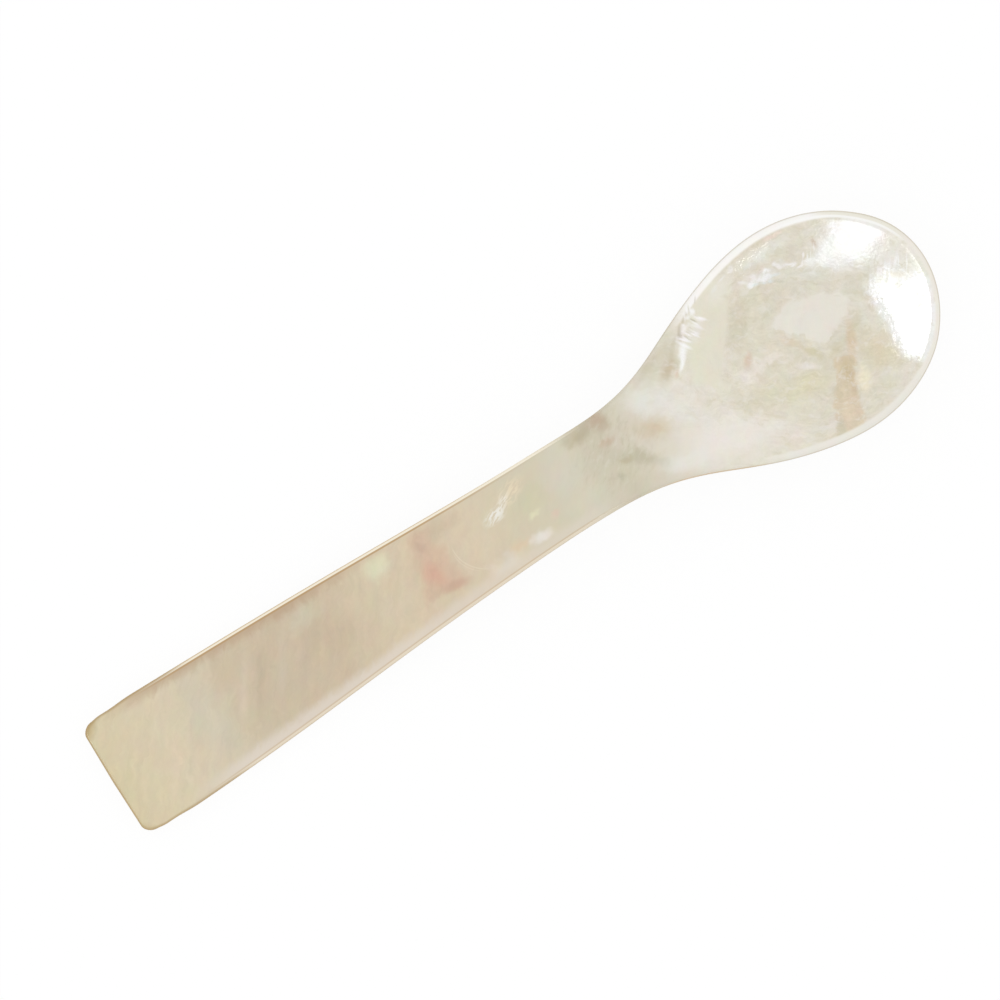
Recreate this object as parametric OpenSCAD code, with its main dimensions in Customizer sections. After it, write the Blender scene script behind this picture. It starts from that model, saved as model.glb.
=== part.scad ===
// Spoon carved from one piece of mother-of-pearl: a flat handle with a square-cut end, which tapers
// to a neck, and an egg-shaped bowl that is widest near its tip.
// Lengths are in millimetres. X runs from the end of the handle to the tip of the bowl, Y runs
// across and Z is up. The spoon lies as on a table: the heel of the handle and the back of the bowl
// touch Z = 0. The origin is on the table, under the middle of the spoon.
//
// The whole spoon is one surface, lofted over ribs. Each rib runs level from the spine, the line
// along the middle, out to the outline. The upper face and the back are heights over the plan, so
// wall thicknesses follow from them, and a rounded edge joins the two along the outline.

/* [Outline] */
// Length of the handle, from its end to the narrowest place of the neck
handle_l = 68.8; // [55:0.1:90]
// Length of the bowl, from the narrowest place of the neck to the tip
bowl_l = 51.2; // [47:0.1:60]
// Width across the end of the handle
handle_w = 16.4; // [13:0.1:22]
// Width of the neck
neck_w = 11.5; // [9:0.1:14]
// Width of the bowl at its widest place
bowl_w = 28.2; // [24:0.1:36]
// Length from the widest place of the bowl to its tip
nose_l = 16.6; // [14:0.1:20]
// Length along the side of each rounded corner at the end of the handle
corner_l = 3; // [1:0.1:5]
// Width across the end of each rounded corner
corner_w = 1.7; // [1:0.1:4]
// Angle at which each side of the handle starts to draw in from the end
taper_angle = 1.2; // [0:0.1:2]
// Length from the neck to the place where the flare of the bowl is steepest
flare_l = 17.2; // [15:0.1:20]
// Width across the bowl at that place
flare_w = 18.4; // [16:0.1:21]
// Angle between the side and the spine at that place
flare_angle = 24; // [20:0.5:28]
// Radius in plan of the hollow of each side at the neck
neck_hollow_r = 300; // [200:10:600]

/* [Handle] */
// Thickness along the long edges at the end of the handle
handle_t = 1.9; // [1.5:0.05:3]
// Thickness along the edges at the neck
neck_t = 2.2; // [1.6:0.05:3]
// Height of the crown of the upper face of the handle, from its edge to its middle
crown_h = 0.35; // [0:0.05:0.6]
// Extra depth of the rib that runs along the back of the neck
keel_h = 0.7; // [0:0.05:1.2]
// Length of the heel, the level ground underside at the end of the handle
heel_l = 8; // [5:0.5:14]
// Height by which the upper edge at the neck stands above the rim at the widest place of the bowl
neck_rise = 0.4; // [-0.5:0.1:2]
// Radius of the arch over the neck, seen from the side
arch_r = 110; // [80:5:400]

/* [Bowl] */
// Depth of the hollow of the bowl under its rim
bowl_depth = 5.5; // [4:0.1:7]
// Thickness of the floor of the bowl
floor_t = 1.5; // [1.2:0.05:2.5]
// Thickness of the rim, from its top to where the back of the bowl starts
rim_t = 1.3; // [0.9:0.05:2]
// Width of the level land on the rim, between its rounded edge and the inner wall
land_w = 0.45; // [0.3:0.05:1]
// Length of the hollow, from the widest place of the bowl back to its lip across the throat
hollow_l = 18; // [16:0.5:20]
// Length over which the floor ramps up, from the widest place to where it would meet the neck
ramp_l = 26; // [21:0.5:28]
// Length of the swelling of the back, from the widest place to where it runs out at the neck
back_l = 27; // [23:0.5:29]
// Height by which the rim rises from the widest place to the tip
tip_lift = 0.4; // [0:0.1:1.5]
// Height ground off the lowest place of the back, which leaves a small flat for the bowl to stand on
seat_h = 0.2; // [0.05:0.05:0.3]

/* [Hidden] */

// The floor of the bowl is flatter and its wall steeper than a parabola's by this share
fullness_share = 0.1;
// Squareness of the edge at the end of the handle, where it is crisp: a half round has 2
crisp_power = 5;
// The lip of the inner wall is softened over about this share of the depth
lip_share = 0.06;
// In the middle of the throat, where the food slides in, it is softened by this share more
throat_share = 0.35;
// Power with which the lip turns across the throat: 2 would be half an ellipse, more is squarer
throat_power = 6;

// Ribs along one side: across the end, round the corner, along the handle, along the bowl, round the tip
end_ribs = 6;
corner_ribs = 5;
handle_ribs = 22;
bowl_ribs = 34;
tip_ribs = 30;
// Places along a rib: on the upper face in shares of the way to the inner wall's lip, round the lip
// in shares of the land's width, and on the back in shares of the way to the rounded edge
face_shares = [0.14, 0.29, 0.44, 0.58, 0.7, 0.81, 0.91];
land_shares = [1.5, 1, 0.5];
back_shares = [0.95, 0.86, 0.74, 0.6, 0.46, 0.32, 0.18];
// Steps over the rounded edge, from the upper face to the back
edge_steps = 8;

spoon_l = handle_l + bowl_l;
// Place of the widest section of the bowl, where the tip starts
wide_x = spoon_l - nose_l;
// Place of the steepest flare
flare_x = handle_l + flare_l;
// First place of the spine: the ribs across the end of the handle fan out from it
fan_x = handle_w / 2;
// Height of the rim at its widest place, with the back of the bowl on the table
rim_z = bowl_depth + floor_t;
// Height of the upper edge at the neck
neck_z = rim_z + neck_rise;
// Swelling of the back of the bowl below the rim, before its lowest place is ground flat
belly_h = rim_z - rim_t + seat_h;

// Curve of fifth degree from a to b, at the share u of the run between them. a and b each hold
// a value, a slope and a bend (the change of slope along the run), so neighbours join smoothly.
function curve(u, run, a, b) =
    a[0] * (1 - 10 * pow(u, 3) + 15 * pow(u, 4) - 6 * pow(u, 5))
    + a[1] * run * (u - 6 * pow(u, 3) + 8 * pow(u, 4) - 3 * pow(u, 5))
    + a[2] * run * run * (pow(u, 2) - 3 * pow(u, 3) + 3 * pow(u, 4) - pow(u, 5)) / 2
    + b[0] * (10 * pow(u, 3) - 15 * pow(u, 4) + 6 * pow(u, 5))
    + b[1] * run * (7 * pow(u, 4) - 4 * pow(u, 3) - 3 * pow(u, 5))
    + b[2] * run * run * (pow(u, 3) - 2 * pow(u, 4) + pow(u, 5)) / 2;

// The same curve between the places x0 and x1
function curve_at(x, x0, x1, a, b) = curve((x - x0) / (x1 - x0), x1 - x0, a, b);

// Smooth step that grows from 0 at x0 to 1 at x1
function ease(x, x0, x1) =
    let (u = max(0, min(1, (x - x0) / (x1 - x0))))
    pow(u, 3) * (10 - 15 * u + 6 * pow(u, 2));

// Outline: half the width at the place x, from the end of the handle to the widest place.
// It bends at the widest place as the ellipse round the tip does.
end_knot = [handle_w / 2, -tan(taper_angle), 0];
neck_knot = [neck_w / 2, 0, 1 / neck_hollow_r];
flare_knot = [flare_w / 2, tan(flare_angle), 0];
wide_knot = [bowl_w / 2, 0, -bowl_w / 2 / pow(nose_l, 2)];

function half_w(x) =
    x < handle_l ? curve_at(x, 0, handle_l, end_knot, neck_knot)
    : x < flare_x ? curve_at(x, handle_l, flare_x, neck_knot, flare_knot)
    : curve_at(min(x, wide_x), flare_x, wide_x, flare_knot, wide_knot);

// Side view: height of the upper edge at the place x. The heel is level, the neck is an arch, and
// the rim is lowest at the widest place and rises to the tip.
rim_bend = 2 * tip_lift / pow(nose_l, 2);

function edge_z(x) =
    x < heel_l ? handle_t
    : x < handle_l ? curve_at(x, heel_l, handle_l, [handle_t, 0, 0], [neck_z, 0, -1 / arch_r])
    : x < wide_x ? curve_at(x, handle_l, wide_x, [neck_z, 0, -1 / arch_r], [rim_z, 0, rim_bend])
    : rim_z + rim_bend * pow(x - wide_x, 2) / 2;

// Thickness along the edge: it grows from the heel to the neck and thins out to the rim of the bowl
function edge_t(x) =
    handle_t
    + (neck_t - handle_t) * ease(x, heel_l, handle_l)
    + (rim_t - neck_t) * ease(x, handle_l, wide_x);

// Crown of the upper face, which falls off towards the long edges and the end of the handle
function crown(x, y) =
    x >= flare_x ? 0
    : crown_h * (1 - ease(x, handle_l, flare_x))
        * (1 - pow(y / half_w(x), 4) - pow(max(0, fan_x - x) / fan_x, 4));

// Rib along the back of the neck
function keel(x, y) =
    x >= wide_x ? 0
    : keel_h * ease(x, heel_l, handle_l) * (1 - ease(x, handle_l, wide_x))
        * pow(1 - pow(y / half_w(x), 2), 2);

// Plan width of the rounded edge, and of the edge with the land inside it
function round_w(x) = edge_t(x) / 2;
function lip_w(x) = round_w(x) + land_w;

// Squareness of the edge: crisp where the handle is sawn off, worn rounder towards the neck, and a
// half round along the rim of the bowl
function edge_power(x) = crisp_power + (2 - crisp_power) * ease(x, 0, flare_x);

// Square of the share of the way from the middle of the bowl to its wall, a given inset from the
// outline: on ellipses round the tip, and straight across elsewhere
function wall_share2(x, y, inset) =
    x > wide_x ? pow((x - wide_x) / (nose_l - inset), 2) + pow(y / (bowl_w / 2 - inset), 2)
    : pow(y / (half_w(x) - inset), 2);

// The same for the hollow, whose wall leaves the outline and turns across the throat
function rear_share(x) = max(0, (wide_x - x) / hollow_l);
function hollow_share2(x, y) = wall_share2(x, y, lip_w(x)) + pow(rear_share(x), throat_power);

// Section of the bowl: 1 in the middle and 0 at the wall
function section(share2) = (1 - share2) * (1 + fullness_share * share2);

// How far the lip is softened: the same all round, and more across the middle of the throat
function softness(x, y) =
    lip_share
    + throat_share * pow(min(1, rear_share(x)), 4)
        * pow(max(0, 1 - wall_share2(x, y, lip_w(x))), 2);

// The section of the hollow with its lip softened, which goes on past the wall at about 0
function hollow_section(x, y) =
    let (sharp = section(hollow_share2(x, y)))
    (sharp + sqrt(pow(sharp, 2) + pow(softness(x, y), 2))) / 2;

// How much of the depth there is at x: all of it from the widest place to the tip, then less and
// less over the length run. It starts with the bend that the section has along the tip.
function fade(x, run, tip_run) =
    let (u = max(0, min(1, (wide_x - x) / run)))
    let (k = 2 - (1 - fullness_share) * pow(run / tip_run, 2))
    pow(1 - u * u, 2) * (1 + k * u * u);

// Height of the upper face and of the back
function face_z(x, y) =
    edge_z(x) + crown(x, y)
    - bowl_depth * fade(x, ramp_l, nose_l - lip_w(wide_x)) * hollow_section(x, y);
function back_z(x, y) =
    let (belly = belly_h * fade(x, back_l, nose_l) * section(wall_share2(x, y, 0)))
    max(0, edge_z(x) - edge_t(x) - keel(x, y) - belly);

// Points of the outline on the +Y side, from the middle of the end to the tip
corner_y = half_w(corner_l) - corner_w;
side_points = [
    for (k = [0:end_ribs - 1]) [0, corner_y * k / end_ribs],
    for (k = [0:corner_ribs]) let (a = 90 * k / corner_ribs)
        [corner_l * (1 - cos(a)), corner_y + corner_w * sin(a)],
    for (k = [1:handle_ribs]) let (x = corner_l + (handle_l - corner_l) * k / handle_ribs)
        [x, half_w(x)],
    for (k = [1:bowl_ribs]) let (x = handle_l + (wide_x - handle_l) * k / bowl_ribs)
        [x, half_w(x)],
    for (k = [1:tip_ribs]) let (a = 90 * k / tip_ribs)
        [wide_x + nose_l * sin(a), bowl_w / 2 * cos(a)]
];
// Index of the widest place and of the tip, and the number of ribs all round
wide_i = end_ribs + corner_ribs + handle_ribs + bowl_ribs;
tip_i = wide_i + tip_ribs;
ribs_n = 2 * tip_i;
outline = [
    for (p = side_points) p,
    for (i = [tip_i - 1:-1:1]) [side_points[i][0], -side_points[i][1]]
];

// A rib starts at the point of the spine that is nearest to its outline point
function rib_base(p) = [max(fan_x, min(wide_x, p[0])), 0];
function rib_l(p) = norm(p - rib_base(p));
// Point of the plan at a distance along the rib from the spine
function along(p, distance) = rib_base(p) + (p - rib_base(p)) * distance / rib_l(p);

function on_face(q) = [q[0], q[1], face_z(q[0], q[1])];
function on_back(q) = [q[0], q[1], back_z(q[0], q[1])];
// Point on the rounded edge, at an angle from +90 on the upper face to -90 on the back
function on_edge(p, angle) =
    let (bulge = 2 / edge_power(p[0]))
    let (inset = round_w(p[0]) * (1 - pow(cos(angle), bulge)))
    let (q = along(p, rib_l(p) - inset))
    let (top = face_z(q[0], q[1]))
    let (bottom = back_z(q[0], q[1]))
    let (lift = sign(angle) * pow(abs(sin(angle)), bulge))
    [q[0], q[1], (top + bottom) / 2 + (top - bottom) / 2 * lift];

// Closed rings of points, from the spine out over the upper face, round the edge and back in
rings = [
    for (s = face_shares) [for (p = outline) on_face(along(p, s * (rib_l(p) - lip_w(p[0]))))],
    for (s = land_shares)
        [for (p = outline) on_face(along(p, rib_l(p) - round_w(p[0]) - s * land_w))],
    for (k = [0:edge_steps]) [for (p = outline) on_edge(p, 90 - 180 * k / edge_steps)],
    for (s = back_shares) [for (p = outline) on_back(along(p, s * (rib_l(p) - round_w(p[0]))))]
];

// Places along the spine: where the first ribs fan out, then one for each rib up to the widest place
fanned = len([for (p = side_points) if (p[0] <= fan_x) p]);
spine = [
    [fan_x, 0],
    for (i = [fanned:wide_i]) [side_points[i][0], 0]
];
points = [
    for (ring = rings) each ring,
    for (q = spine) on_face(q),
    for (q = spine) on_back(q)
];

// Index of a point of a ring, and of the point of the spine that a rib starts from. The ribs on the
// -Y side count back from the end of the handle.
function at(ring, i) = ring * ribs_n + i % ribs_n;
function spine_at(row, i) =
    let (side_i = min(i % ribs_n, ribs_n - i % ribs_n))
    len(rings) * ribs_n + row * len(spine) + max(0, min(side_i - fanned + 1, len(spine) - 1));

// The triangles of a four-sided face, clockwise from outside, less one that has no width
function quad(a, b, c, d) = [if (a != b) [a, b, c], if (a != d) [a, c, d]];

// Faces from the spine out over the upper face, from ring to ring, and back in to the spine
last_ring = len(rings) - 1;
skin = [
    for (i = [0:ribs_n - 1])
        each quad(spine_at(0, i), at(0, i), at(0, i + 1), spine_at(0, i + 1)),
    for (r = [0:last_ring - 1], i = [0:ribs_n - 1])
        each quad(at(r, i), at(r + 1, i), at(r + 1, i + 1), at(r, i + 1)),
    for (i = [0:ribs_n - 1])
        each quad(spine_at(1, i), spine_at(1, i + 1), at(last_ring, i + 1), at(last_ring, i))
];

// The spoon: bowl, neck and handle in one piece of shell
module spoon() {
    color("antiquewhite")
        translate([-spoon_l / 2, 0, 0])
            polyhedron(points = points, faces = skin, convexity = 6);
}

spoon();
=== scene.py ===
import bmesh
import bpy
import numpy as np
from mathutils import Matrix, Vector


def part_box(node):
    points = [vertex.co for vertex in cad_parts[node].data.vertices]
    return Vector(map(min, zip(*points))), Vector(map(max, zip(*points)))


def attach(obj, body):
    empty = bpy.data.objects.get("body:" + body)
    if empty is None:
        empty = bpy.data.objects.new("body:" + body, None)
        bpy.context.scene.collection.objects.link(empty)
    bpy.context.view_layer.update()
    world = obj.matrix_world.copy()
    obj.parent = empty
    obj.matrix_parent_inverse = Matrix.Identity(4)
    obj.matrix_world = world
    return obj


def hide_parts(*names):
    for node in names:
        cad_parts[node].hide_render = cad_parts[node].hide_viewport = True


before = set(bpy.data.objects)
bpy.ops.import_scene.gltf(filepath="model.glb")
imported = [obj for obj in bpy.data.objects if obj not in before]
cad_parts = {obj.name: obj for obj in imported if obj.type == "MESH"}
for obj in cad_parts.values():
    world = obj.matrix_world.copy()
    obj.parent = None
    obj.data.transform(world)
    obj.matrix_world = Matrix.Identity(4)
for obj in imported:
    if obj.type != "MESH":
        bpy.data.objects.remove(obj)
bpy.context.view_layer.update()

# The shape of the spoon. The real one is ground from the thick part of a pearl oyster's shell: the
# plan is sawn out, the bowl is hollowed with a round stone, and the edge is rounded and polished.
# It is one surface: upper face, rounded edge and back, carried along the outline of the plan.
MM = 0.001
low, high = (np.array(corner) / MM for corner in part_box("spoon"))
spoon_l = high[0] - low[0]
bowl_w = high[1] - low[1]
bowl_l = 51.2
handle_l = spoon_l - bowl_l
handle_w = 16.4
neck_w = 11.5
nose_l = 16.6
corner_l = 3.0
corner_w = 1.7
taper_slope = np.tan(np.radians(1.2))
flare_l = 17.2
flare_w = 18.4
flare_slope = np.tan(np.radians(24))
neck_hollow_r = 300.0
handle_t = 1.9
neck_t = 2.2
rim_t = 1.3
floor_t = 1.5
crown_h = 0.35
keel_h = 0.7
heel_l = 8.0
neck_rise = 0.4
crisp_power = 5.0
arch_r = 110.0
bowl_depth = 5.5
land_w = 0.45
hollow_l = 18.0
ramp_l = 26.0
back_l = 27.0
tip_lift = 0.4
seat_h = 0.2
fullness_share = 0.1
lip_share = 0.06
throat_share = 0.35
throat_power = 6
# The throat is ground a little lower and longer on the lower side of the picture
skew_start_y = -3.0
skew_end_y = 5.0
lower_throat_share = 0.4
lower_ramp_more = 2.0
# Ripples of the polish, broad ones all over and close ones in the bowl: height and length
broad_h = 0.02
broad_l = 9.0
close_h = 0.008
close_l = 2.4
# Slips of the saw at the end of the handle: share of the width lost, and slope of the cut
end_loss = 0.025
end_slope = 0.03

wide_x = spoon_l - nose_l
flare_x = handle_l + flare_l
fan_x = handle_w / 2
rim_z = bowl_depth + floor_t
neck_z = rim_z + neck_rise
rim_bend = 2 * tip_lift / nose_l**2
# How the sawn middle line strays sideways: where it starts at the end of the handle, and then from
# x to x by how much more
stray_start = -0.2
stray_runs = ((0, 55, 0.46), (62, 87, -0.42), (87, wide_x, 0.16), (wide_x + 10.6, spoon_l + 1, 0.4))

# Points of the outline along one side, and rings from the spine out over the face, closer at the
# land, round the edge and back
end_n = 10
corner_n = 14
handle_n = 110
side_n = 105
tip_n = 80
face_n = 70
land_n = 8
edge_n = 14
back_n = 34


def smooth_run(x, x0, x1, start, end):
    """Curve of fifth degree between two places, with a given value, slope and bend at each."""
    run = x1 - x0
    u = (x - x0) / run
    rise = 10 * u**3 - 15 * u**4 + 6 * u**5
    value = start[0] * (1 - rise) + end[0] * rise
    slope = start[1] * (u - 6 * u**3 + 8 * u**4 - 3 * u**5)
    slope += end[1] * (7 * u**4 - 4 * u**3 - 3 * u**5)
    bend = start[2] * (u**2 - 3 * u**3 + 3 * u**4 - u**5) + end[2] * (u**3 - 2 * u**4 + u**5)
    return value + slope * run + bend * run**2 / 2


def ease(x, x0, x1):
    """Smooth step from 0 at x0 to 1 at x1, level and unbent at both ends."""
    u = np.clip((x - x0) / (x1 - x0), 0, 1)
    return u**3 * (10 - 15 * u + 6 * u**2)


def half_width(x):
    """Half the width at x: three smooth runs, from the end to the neck, on to the flare, and on to
    the widest place."""
    end = (handle_w / 2, -taper_slope, 0)
    neck = (neck_w / 2, 0, 1 / neck_hollow_r)
    flare = (flare_w / 2, flare_slope, 0)
    wide = (bowl_w / 2, 0, -bowl_w / 2 / nose_l**2)
    bowl = smooth_run(np.minimum(x, wide_x), flare_x, wide_x, flare, wide)
    throat = np.where(x < flare_x, smooth_run(x, handle_l, flare_x, neck, flare), bowl)
    return np.where(x < handle_l, smooth_run(x, 0, handle_l, end, neck), throat)


def edge_height(x):
    """Height of the upper edge: level at the heel, arched over the neck, down to the rim of the
    bowl and a little up to the tip."""
    crest = (neck_z, 0, -1 / arch_r)
    handle = smooth_run(x, heel_l, handle_l, (handle_t, 0, 0), crest)
    throat = smooth_run(x, handle_l, wide_x, crest, (rim_z, 0, rim_bend))
    tip = rim_z + rim_bend * (x - wide_x) ** 2 / 2
    bowl = np.where(x < wide_x, throat, tip)
    return np.where(x < heel_l, handle_t, np.where(x < handle_l, handle, bowl))


def edge_thickness(x):
    """Thickness along the edge: grows to the neck and thins out to the rim of the bowl."""
    to_neck = (neck_t - handle_t) * ease(x, heel_l, handle_l)
    return handle_t + to_neck + (rim_t - neck_t) * ease(x, handle_l, wide_x)


def edge_round(x):
    """Plan width of the rounded edge, half the thickness there."""
    return edge_thickness(x) / 2


def edge_power(x):
    """How square the edge is: a half round has 2. The end of the handle is cut with crisp corners,
    which are worn rounder towards the neck and are a half round at the rim of the bowl."""
    return crisp_power + (2 - crisp_power) * ease(x, 0, flare_x)


def wall_share(x, y, inset):
    """Square of the share of the way from the middle to the wall, along ellipses round the tip."""
    tip = ((x - wide_x) / (nose_l - inset)) ** 2 + (y / (bowl_w / 2 - inset)) ** 2
    return np.where(x > wide_x, tip, (y / (half_width(x) - inset)) ** 2)


def section(share):
    """Section of the hollow: 1 in the middle and 0 at the wall, flatter in the middle than a
    parabola."""
    return (1 - share) * (1 + fullness_share * share)


def run_out(x, run, tip_run):
    """Share of the depth at x: all of it from the tip to the widest place, and less and less over
    the run from there towards the handle."""
    u = np.clip((wide_x - x) / run, 0, 1)
    k = 2 - (1 - fullness_share) * (run / tip_run) ** 2
    return (1 - u**2) ** 2 * (1 + k * u**2)


def face_height(x, y):
    """Upper face: the edge's height, plus the crown of the handle, less the hollow of the bowl."""
    sag = (y / half_width(x)) ** 4 + (np.maximum(0, fan_x - x) / fan_x) ** 4
    crown = crown_h * (1 - ease(x, handle_l, flare_x)) * (1 - sag)
    across = wall_share(x, y, edge_round(x) + land_w)
    rear = np.maximum(0, wide_x - x) / hollow_l
    upper = ease(y, skew_start_y, skew_end_y)
    kept = lower_throat_share + (1 - lower_throat_share) * upper
    wall = section(across + kept * rear**throat_power)
    soft = lip_share + throat_share * np.minimum(1, rear) ** 4 * np.maximum(0, 1 - across) ** 2
    softened = (wall + np.sqrt(wall**2 + soft**2)) / 2
    tip_run = nose_l - rim_t / 2 - land_w
    ramp = ramp_l + lower_ramp_more * (1 - upper)
    return edge_height(x) + crown - bowl_depth * run_out(x, ramp, tip_run) * softened


def back_height(x, y):
    """Back: the edge's height less its thickness, the keel along the neck and the swelling of the
    bowl, whose lowest place is ground flat to stand on."""
    along = ease(x, heel_l, handle_l) * (1 - ease(x, handle_l, wide_x))
    keel = keel_h * along * np.maximum(0, 1 - (y / half_width(x)) ** 2) ** 2
    belly = (rim_z - rim_t + seat_h) * run_out(x, back_l, nose_l) * section(wall_share(x, y, 0))
    return np.maximum(0, edge_height(x) - edge_thickness(x) - keel - belly)


def ripples(x, y, size, waves, seed):
    """Gentle unevenness of a surface polished by hand: sine waves of about one length that run in
    all directions, added up and brought to a mean height of one, whatever their number."""
    draw = np.random.default_rng(seed)
    heading = draw.uniform(0, np.pi, waves)
    pitch = 2 * np.pi / (size * draw.uniform(0.7, 1.5, waves))
    phase = draw.uniform(0, 2 * np.pi, waves)
    across = np.multiply.outer(x, np.cos(heading) * pitch)
    across += np.multiply.outer(y, np.sin(heading) * pitch)
    return np.sin(across + phase).sum(axis=-1) / np.sqrt(waves / 2)


def outline():
    """Plan points once round: across the end, round the corner, along the side and the ellipse of
    the tip, and the same mirrored on the other side."""
    corner_y = half_width(corner_l) - corner_w
    turn = np.radians(90) * np.arange(corner_n + 1) / corner_n
    handle = corner_l + (handle_l - corner_l) * np.arange(1, handle_n + 1) / handle_n
    side = handle_l + (wide_x - handle_l) * np.arange(1, side_n + 1) / side_n
    tip = np.radians(90) * np.arange(1, tip_n + 1) / tip_n
    x = [np.zeros(end_n), corner_l * (1 - np.cos(turn))]
    x += [handle, side, wide_x + nose_l * np.sin(tip)]
    y = [corner_y * np.arange(end_n) / end_n, corner_y + corner_w * np.sin(turn)]
    y += [half_width(handle), half_width(side), bowl_w / 2 * np.cos(tip)]
    one_side = np.stack([np.concatenate(x), np.concatenate(y)], axis=1)
    other = one_side[-2:0:-1] * (1, -1)
    return np.concatenate([one_side, other])


def spoon_surface():
    """Grid of points, ring by ring, with the share of each that faces up and its distance from the
    outline. Each rib runs level from the nearest place of the spine to its point of the outline,
    and the heights of face and back are taken there. The edge is a half round between the two."""
    rim = outline()
    base = np.stack([np.clip(rim[:, 0], fan_x, wide_x), np.zeros(len(rim))], axis=1)
    rib = rim - base
    length = np.hypot(rib[:, 0], rib[:, 1])
    rounding = edge_round(rim[:, 0])
    face_share = np.linspace(0, 1, face_n + 1)[:, None]
    close_w = 1.5 * land_w
    face = face_share[:-1] * (length - rounding - close_w)
    land = length - rounding - np.linspace(close_w, 0, land_n + 1)[:-1, None]
    angle = np.radians(np.linspace(90, -90, edge_n + 1))[:, None]
    bulge = 2 / edge_power(rim[:, 0])
    edge = length - rounding * (1 - np.clip(np.cos(angle), 0, 1) ** bulge)
    back = np.linspace(1, 0, back_n + 1)[1:, None] * (length - rounding)
    out = np.concatenate([face, land, edge, back]) / length
    x = base[:, 0] + rib[:, 0] * out
    y = base[:, 1] + rib[:, 1] * out
    over_face = np.full((face_n + land_n, 1), np.pi / 2)
    over_back = np.full((back_n, 1), -np.pi / 2)
    angles = np.concatenate([over_face, angle, over_back])
    top = face_height(x, y)
    bottom = back_height(x, y)
    lift = np.sign(angles) * np.abs(np.sin(angles)) ** bulge
    z = (top + bottom) / 2 + (top - bottom) / 2 * lift
    up = (1 + lift) / 2
    inset = length * (1 - out)
    return x, y, z, up, inset


def polish(x, y, up, inset):
    """Unevenness that the stone and the polishing leave on the upper face, less towards the edge.
    In the bowl, where the polishing wheel doesn't reach, it is closer and the layers stand out."""
    held = up * ease(inset, 0.3, 2.5)
    bowl = ease(x, handle_l + 10, wide_x - 4)
    broad = broad_h * ripples(x, y, broad_l, waves=40, seed=11)
    close = close_h * ripples(x, y, close_l, waves=60, seed=12) * bowl
    return held * (broad + close)


def hand_cut(x, y):
    """The plan as it was sawn by hand: the middle line wanders by a quarter of a millimetre and a
    little more at the tip, and the end is a little aslant and narrower at its corners."""
    stray = stray_start + sum(sideways * ease(x, x0, x1) for x0, x1, sideways in stray_runs)
    narrower = end_loss * ease(x, 0.5, 2.2) * (1 - ease(x, 3.5, 8))
    aslant = end_slope * np.maximum(0, y) * (1 - ease(x, 0, 6))
    return x + aslant, y * (1 - narrower) + stray


def build_spoon():
    """The grid as a mesh of quads, closed along the spine, with two measures kept as attributes."""
    x, y, z, up, inset = spoon_surface()
    z = z + polish(x, y, up, inset)
    x, y = hand_cut(x, y)
    ring_n, rib_n = x.shape
    points = np.stack([x - spoon_l / 2, y, z], axis=-1).reshape(-1, 3) * MM
    at = np.arange(ring_n * rib_n).reshape(ring_n, rib_n)
    beside = np.roll(at, -1, axis=1)
    quads = np.stack([at[:-1], beside[:-1], beside[1:], at[1:]], axis=-1).reshape(-1, 4)
    mesh = bpy.data.meshes.new("spoon_body")
    mesh.from_pydata(points.tolist(), [], quads.tolist())
    for name, values in (("facing_up", up), ("from_edge", inset)):
        kept = mesh.attributes.new(name, "FLOAT", "POINT")
        kept.data.foreach_set("value", values.astype(np.float32).ravel())
    close = bmesh.new()
    close.from_mesh(mesh)
    close.verts.ensure_lookup_table()
    along_spine = close.verts[:rib_n] + close.verts[-rib_n:]
    bmesh.ops.remove_doubles(close, verts=along_spine, dist=0.001 * MM)
    close.to_mesh(mesh)
    close.free()
    mesh.shade_smooth()
    return mesh


spoon = bpy.data.objects.new("spoon_body", build_spoon())
bpy.context.scene.collection.objects.link(spoon)

# The nacre of the spoon: thousands of thin layers of aragonite under a polish. What shows is the
# colour of the layers, a silky sheen from within them and the sharp gloss of the polish on top.
nacre = bpy.data.materials.new("polished_nacre")
nacre.use_nodes = True
tree = nacre.node_tree
tree.nodes.clear()


def add(kind, inputs, **settings):
    """A node of the material in hand, with its settings, and inputs as plain values or links."""
    made = tree.nodes.new("ShaderNode" + kind)
    for name, value in settings.items():
        setattr(made, name, value)
    for name, value in inputs.items():
        if isinstance(value, bpy.types.NodeSocket):
            tree.links.new(value, made.inputs[name])
        else:
            made.inputs[name].default_value = value
    return made


def tone(red, green, blue):
    """A colour as seen on screen, 0 to 255, as the light that the shader takes."""
    seen = np.array([red, green, blue]) / 255
    light = np.where(seen > 0.04045, ((seen + 0.055) / 1.055) ** 2.4, seen / 12.92)
    return (*light.tolist(), 1)


def sums(operation, *values):
    """One step of arithmetic on numbers."""
    return add("Math", dict(enumerate(values)), operation=operation).outputs[0]


def product(*values):
    """Several numbers multiplied."""
    result = values[0]
    for value in values[1:]:
        result = sums("MULTIPLY", result, value)
    return result


def steps(value, start, end, to_start=0.0, to_end=1.0):
    """Smooth step of a value between two levels."""
    levels = {"From Min": start, "From Max": end, "To Min": to_start, "To Max": to_end}
    inputs = {"Value": value, **levels}
    return add("MapRange", inputs, interpolation_type="SMOOTHSTEP", clamp=False).outputs["Result"]


def over(below, colour, share, blend="MIX"):
    """A colour laid over another by a share. The node's sixth and seventh inputs and its second
    output are the ones for colours."""
    made = add("Mix", {0: share, 6: below, 7: colour}, data_type="RGBA", blend_type=blend)
    return made.outputs[2]


def grey(level):
    """A grey of a level of light, which may be more than white."""
    return (level, level, level, 1)


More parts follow.
